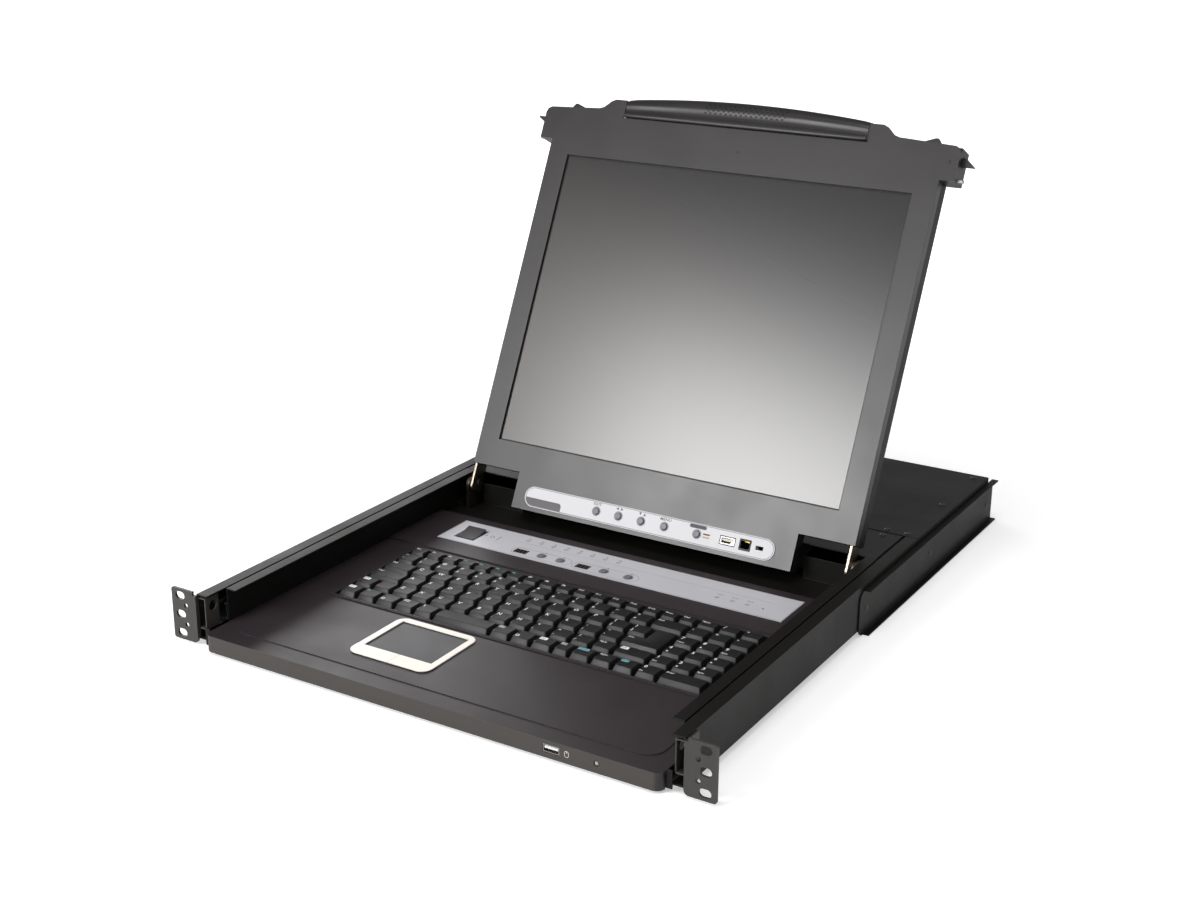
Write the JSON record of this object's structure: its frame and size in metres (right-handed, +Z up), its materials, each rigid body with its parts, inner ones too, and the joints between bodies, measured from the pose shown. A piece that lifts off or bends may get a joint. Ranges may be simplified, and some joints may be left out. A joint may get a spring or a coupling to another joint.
{
  "type": "rackmount lcd console drawer",
  "caption": "Slide-out rack drawer, one rack unit high, with a folding flat screen, keyboard, touch pad and control strip for driving rack computers.",
  "frame": {"origin": "centre of the rack slot pattern on the rear faces of the rack ears", "axes": "+X to the user's right, +Y to the rear of the rack, +Z up"},
  "size_m": [0.4826, 0.599, 0.3779],
  "materials": {
    "chassis_steel": "fine-textured black powder coat",
    "ear_steel": "fine-textured dark powder coat",
    "bezel_metal": "satin charcoal paint on cast and folded metal",
    "zinc_steel": "zinc plated rolled steel",
    "hinge_steel": "bright nickel plated steel",
    "connector_shells": "tin plated pressed steel shells",
    "circuit_board": "glass fibre board with solder mask",
    "deck_plastic": "fine spark-eroded moulding texture",
    "handle_plastic": "fine spark-eroded moulding texture",
    "key_plastic": "fine textured key mouldings",
    "pad_silver": "champagne silver lacquer",
    "pad_black": "fine etched film",
    "strip_silver": "silver printed overlay on aluminium",
    "strip_white": "printed film with matt lacquer",
    "display_window": "smoked window",
    "lcd_panel": "anti-glare coated flat panel",
    "button_grey": "moulded grey"
  },
  "bodies": {
    "chassis": {"side_channel_right": "chassis_steel", "side_channel_left": "chassis_steel", "rack_ear_right": "ear_steel", "rack_ear_left": "ear_steel", "catch_brackets": "ear_steel", "slide_outer": "zinc_steel", "rear_rails": "chassis_steel", "rear_case": "chassis_steel", "rear_cover": "chassis_steel", "rear_connectors": "connector_shells", "main_board": "circuit_board", "power_supply": "circuit_board"},
    "middle_slides": {"slide_middle": "zinc_steel"},
    "drawer": {"tray_base": "chassis_steel", "slide_inner": "zinc_steel", "palm_rest": "deck_plastic", "front_usb_socket": "connector_shells", "touchpad_frame": "pad_silver", "touchpad_surface": "pad_black", "keyboard_base": "key_plastic", "control_deck": "deck_plastic", "control_strip": "strip_silver", "led_displays": "display_window", "panel_board": "circuit_board", "hinge_deck": "chassis_steel", "hinge_cover": "chassis_steel", "hinge_blocks": "hinge_steel"},
    "screen": {"lcd_bezel": "bezel_metal", "lcd_back_cover": "chassis_steel", "lcd_panel": "lcd_panel", "lcd_boards": "circuit_board", "osd_strip": "strip_white", "lcd_sockets": "connector_shells", "handle_bar": "handle_plastic", "corner_bracket_left": "ear_steel", "corner_bracket_right": "ear_steel", "hinge_arms": "hinge_steel"},
    "touch_button_left_body": {"touch_button_left": "pad_silver"},
    "touch_button_right_body": {"touch_button_right": "pad_silver"},
    "key_row_function_body": {"key_row_function": "key_plastic"},
    "key_row_number_body": {"key_row_number": "key_plastic"},
    "key_row_upper_body": {"key_row_upper": "key_plastic"},
    "key_row_home_body": {"key_row_home": "key_plastic", "enter_key": "key_plastic"},
    "key_row_lower_body": {"key_row_lower": "key_plastic"},
    "key_row_bottom_body": {"key_row_bottom": "key_plastic"},
    "space_bar_body": {"space_bar": "key_plastic"},
    "panel_button_1_body": {"panel_button_1": "button_grey"},
    "panel_button_2_body": {"panel_button_2": "button_grey"},
    "panel_button_3_body": {"panel_button_3": "button_grey"},
    "panel_button_4_body": {"panel_button_4": "button_grey"},
    "power_rocker_body": {"power_rocker": "deck_plastic"},
    "osd_button_1_body": {"osd_button_1": "button_grey"},
    "osd_button_2_body": {"osd_button_2": "button_grey"},
    "osd_button_3_body": {"osd_button_3": "button_grey"},
    "osd_button_4_body": {"osd_button_4": "button_grey"},
    "lcd_power_button_body": {"lcd_power_button": "button_grey"},
    "firmware_switch_body": {"firmware_switch": "deck_plastic"},
    "latch_left_body": {"latch_left": "handle_plastic"},
    "latch_right_body": {"latch_right": "handle_plastic"}
  },
  "joints": [
    {"name": "drawer_slide", "type": "slide", "parent": "chassis", "child": "drawer", "axis": [0, -1, 0], "range_m": [0, 0.4]},
    {"name": "middle_slide", "type": "slide", "parent": "chassis", "child": "middle_slides", "axis": [0, -1, 0], "range_m": [0, 0.2]},
    {"name": "screen_hinge", "type": "hinge", "parent": "drawer", "child": "screen", "pos_m": [0, 0.3373, 0.012], "axis": [1, 0, 0], "range_deg": [-4.2, 115.8]},
    {"name": "touch_button_left_travel", "type": "slide", "parent": "drawer", "child": "touch_button_left_body", "axis": [0, 0, -1], "range_m": [0, 0.0004], "stiffness_N_per_m": 2000},
    {"name": "touch_button_right_travel", "type": "slide", "parent": "drawer", "child": "touch_button_right_body", "axis": [0, 0, -1], "range_m": [0, 0.0004], "stiffness_N_per_m": 2000},
    {"name": "key_row_function_travel", "type": "slide", "parent": "drawer", "child": "key_row_function_body", "axis": [0, 0, -1], "range_m": [0, 0.0025], "stiffness_N_per_m": 3000},
    {"name": "key_row_number_travel", "type": "slide", "parent": "drawer", "child": "key_row_number_body", "axis": [0, 0, -1], "range_m": [0, 0.0025], "stiffness_N_per_m": 3000},
    {"name": "key_row_upper_travel", "type": "slide", "parent": "drawer", "child": "key_row_upper_body", "axis": [0, 0, -1], "range_m": [0, 0.0025], "stiffness_N_per_m": 3000},
    {"name": "key_row_home_travel", "type": "slide", "parent": "drawer", "child": "key_row_home_body", "axis": [0, 0, -1], "range_m": [0, 0.0025], "stiffness_N_per_m": 3000},
    {"name": "key_row_lower_travel", "type": "slide", "parent": "drawer", "child": "key_row_lower_body", "axis": [0, 0, -1], "range_m": [0, 0.0025], "stiffness_N_per_m": 3000},
    {"name": "key_row_bottom_travel", "type": "slide", "parent": "drawer", "child": "key_row_bottom_body", "axis": [0, 0, -1], "range_m": [0, 0.0025], "stiffness_N_per_m": 3000},
    {"name": "space_bar_travel", "type": "slide", "parent": "drawer", "child": "space_bar_body", "axis": [0, 0, -1], "range_m": [0, 0.0025], "stiffness_N_per_m": 600},
    {"name": "panel_button_1_travel", "type": "slide", "parent": "drawer", "child": "panel_button_1_body", "axis": [0, 0, -1], "range_m": [0, 0.0008], "stiffness_N_per_m": 1500},
    {"name": "panel_button_2_travel", "type": "slide", "parent": "drawer", "child": "panel_button_2_body", "axis": [0, 0, -1], "range_m": [0, 0.0008], "stiffness_N_per_m": 1500},
    {"name": "panel_button_3_travel", "type": "slide", "parent": "drawer", "child": "panel_button_3_body", "axis": [0, 0, -1], "range_m": [0, 0.0008], "stiffness_N_per_m": 1500},
    {"name": "panel_button_4_travel", "type": "slide", "parent": "drawer", "child": "panel_button_4_body", "axis": [0, 0, -1], "range_m": [0, 0.0008], "stiffness_N_per_m": 1500},
    {"name": "power_rocker_hinge", "type": "hinge", "parent": "drawer", "child": "power_rocker_body", "pos_m": [-0.1447, 0.2659, -0.0085], "axis": [1, 0, 0], "range_deg": [-14, 0]},
    {"name": "osd_button_1_travel", "type": "slide", "parent": "screen", "child": "osd_button_1_body", "axis": [0, 0.9003, -0.4352], "range_m": [0, 0.0008], "stiffness_N_per_m": 1500},
    {"name": "osd_button_2_travel", "type": "slide", "parent": "screen", "child": "osd_button_2_body", "axis": [0, 0.9003, -0.4352], "range_m": [0, 0.0008], "stiffness_N_per_m": 1500},
    {"name": "osd_button_3_travel", "type": "slide", "parent": "screen", "child": "osd_button_3_body", "axis": [0, 0.9003, -0.4352], "range_m": [0, 0.0008], "stiffness_N_per_m": 1500},
    {"name": "osd_button_4_travel", "type": "slide", "parent": "screen", "child": "osd_button_4_body", "axis": [0, 0.9003, -0.4352], "range_m": [0, 0.0008], "stiffness_N_per_m": 1500},
    {"name": "lcd_power_button_travel", "type": "slide", "parent": "screen", "child": "lcd_power_button_body", "axis": [0, 0.9003, -0.4352], "range_m": [0, 0.0008], "stiffness_N_per_m": 1500},
    {"name": "firmware_switch_travel", "type": "slide", "parent": "screen", "child": "firmware_switch_body", "axis": [1, 0, 0], "range_m": [0, 0.002]},
    {"name": "latch_right_travel", "type": "slide", "parent": "screen", "child": "latch_right_body", "axis": [-1, 0, 0], "range_m": [0, 0.005], "stiffness_N_per_m": 400},
    {"name": "latch_left_travel", "type": "slide", "parent": "screen", "child": "latch_left_body", "axis": [1, 0, 0], "range_m": [0, 0.005], "stiffness_N_per_m": 400}
  ],
  "couplings": [
    {"joint": "middle_slide", "follows": "drawer_slide", "ratio": 0.5}
  ]
}
